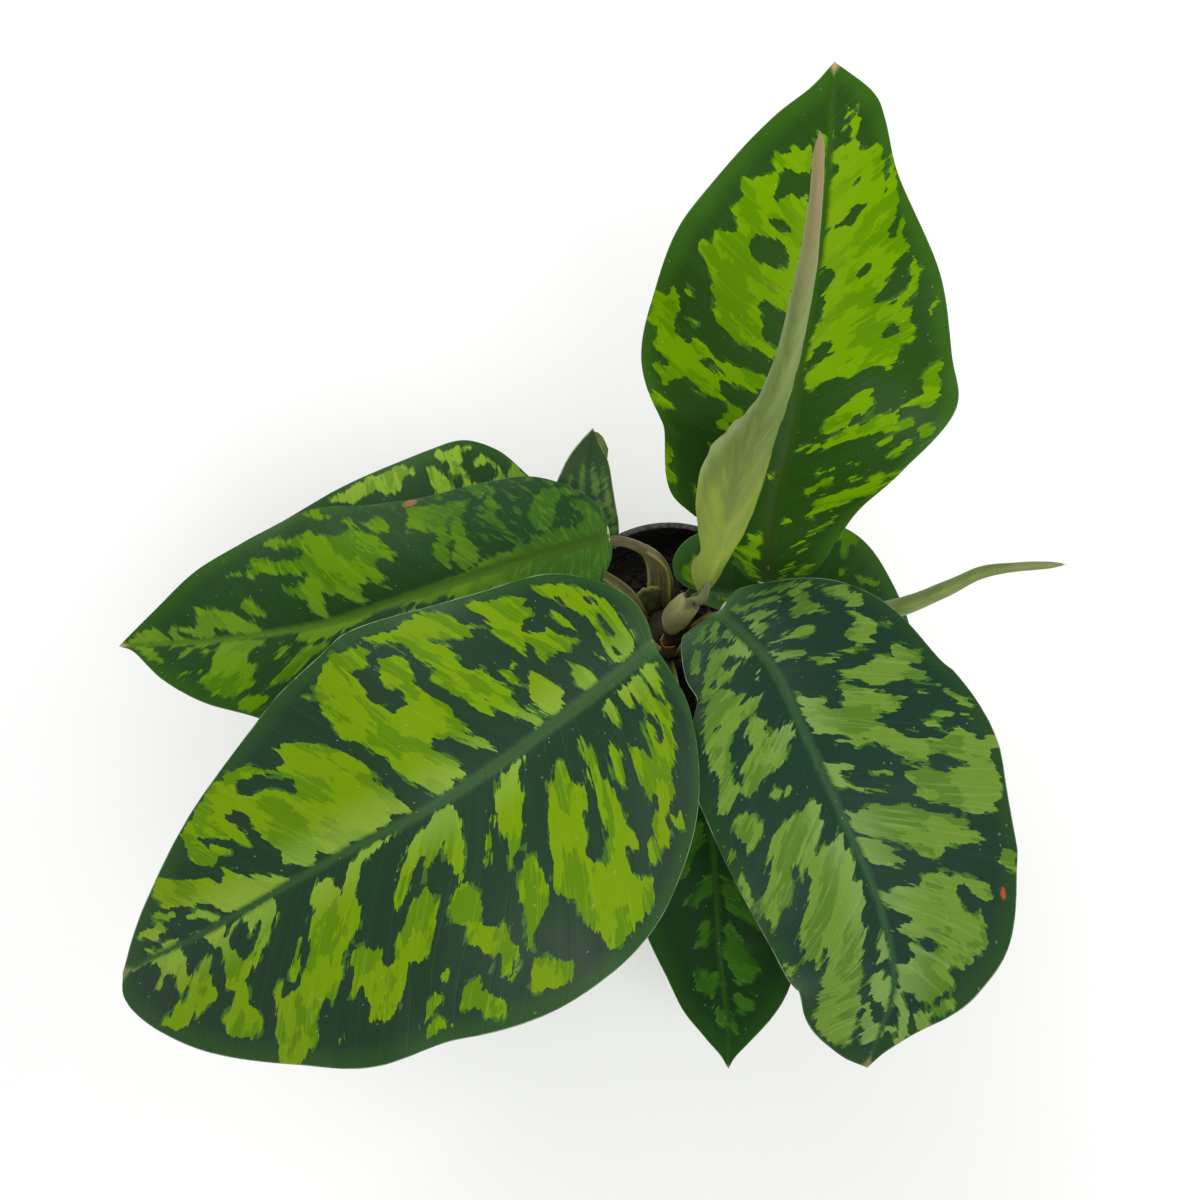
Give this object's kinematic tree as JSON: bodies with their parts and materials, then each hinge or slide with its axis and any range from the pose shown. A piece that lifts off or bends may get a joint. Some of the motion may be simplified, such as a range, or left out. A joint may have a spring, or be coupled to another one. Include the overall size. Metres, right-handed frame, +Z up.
{
  "type": "potted camouflage homalomena",
  "caption": "Potted aroid house plant: broad mottled ovate leaves and rolled young leaves on slender stalks from a short crown in a tapered nursery pot of mix.",
  "frame": {"origin": "middle of the pot's flat bottom", "axes": "+Z up along the pot's axis, +X to the viewer's right, +Y away from the viewer of the picture"},
  "size_m": [0.3532, 0.3374, 0.2915],
  "materials": {
    "pot_plastic": "matte",
    "potting_mix": "matte",
    "crown_stem": "matte",
    "leaf": "satin",
    "young_leaf": "satin",
    "dry_sheath": "matte"
  },
  "bodies": {
    "root": {"pot": "pot_plastic", "potting_mix": "potting_mix", "crown": "crown_stem", "leaf_front_left": "leaf", "leaf_left": "leaf", "leaf_back_left": "leaf", "leaf_back_small": "leaf", "leaf_back_right": "leaf", "leaf_right_low": "leaf", "leaf_front_right": "leaf", "leaf_front_low": "leaf", "rolled_leaf_tall": "young_leaf", "rolled_leaf_right": "young_leaf", "sheath_tall": "dry_sheath"}
  },
  "joints": []
}
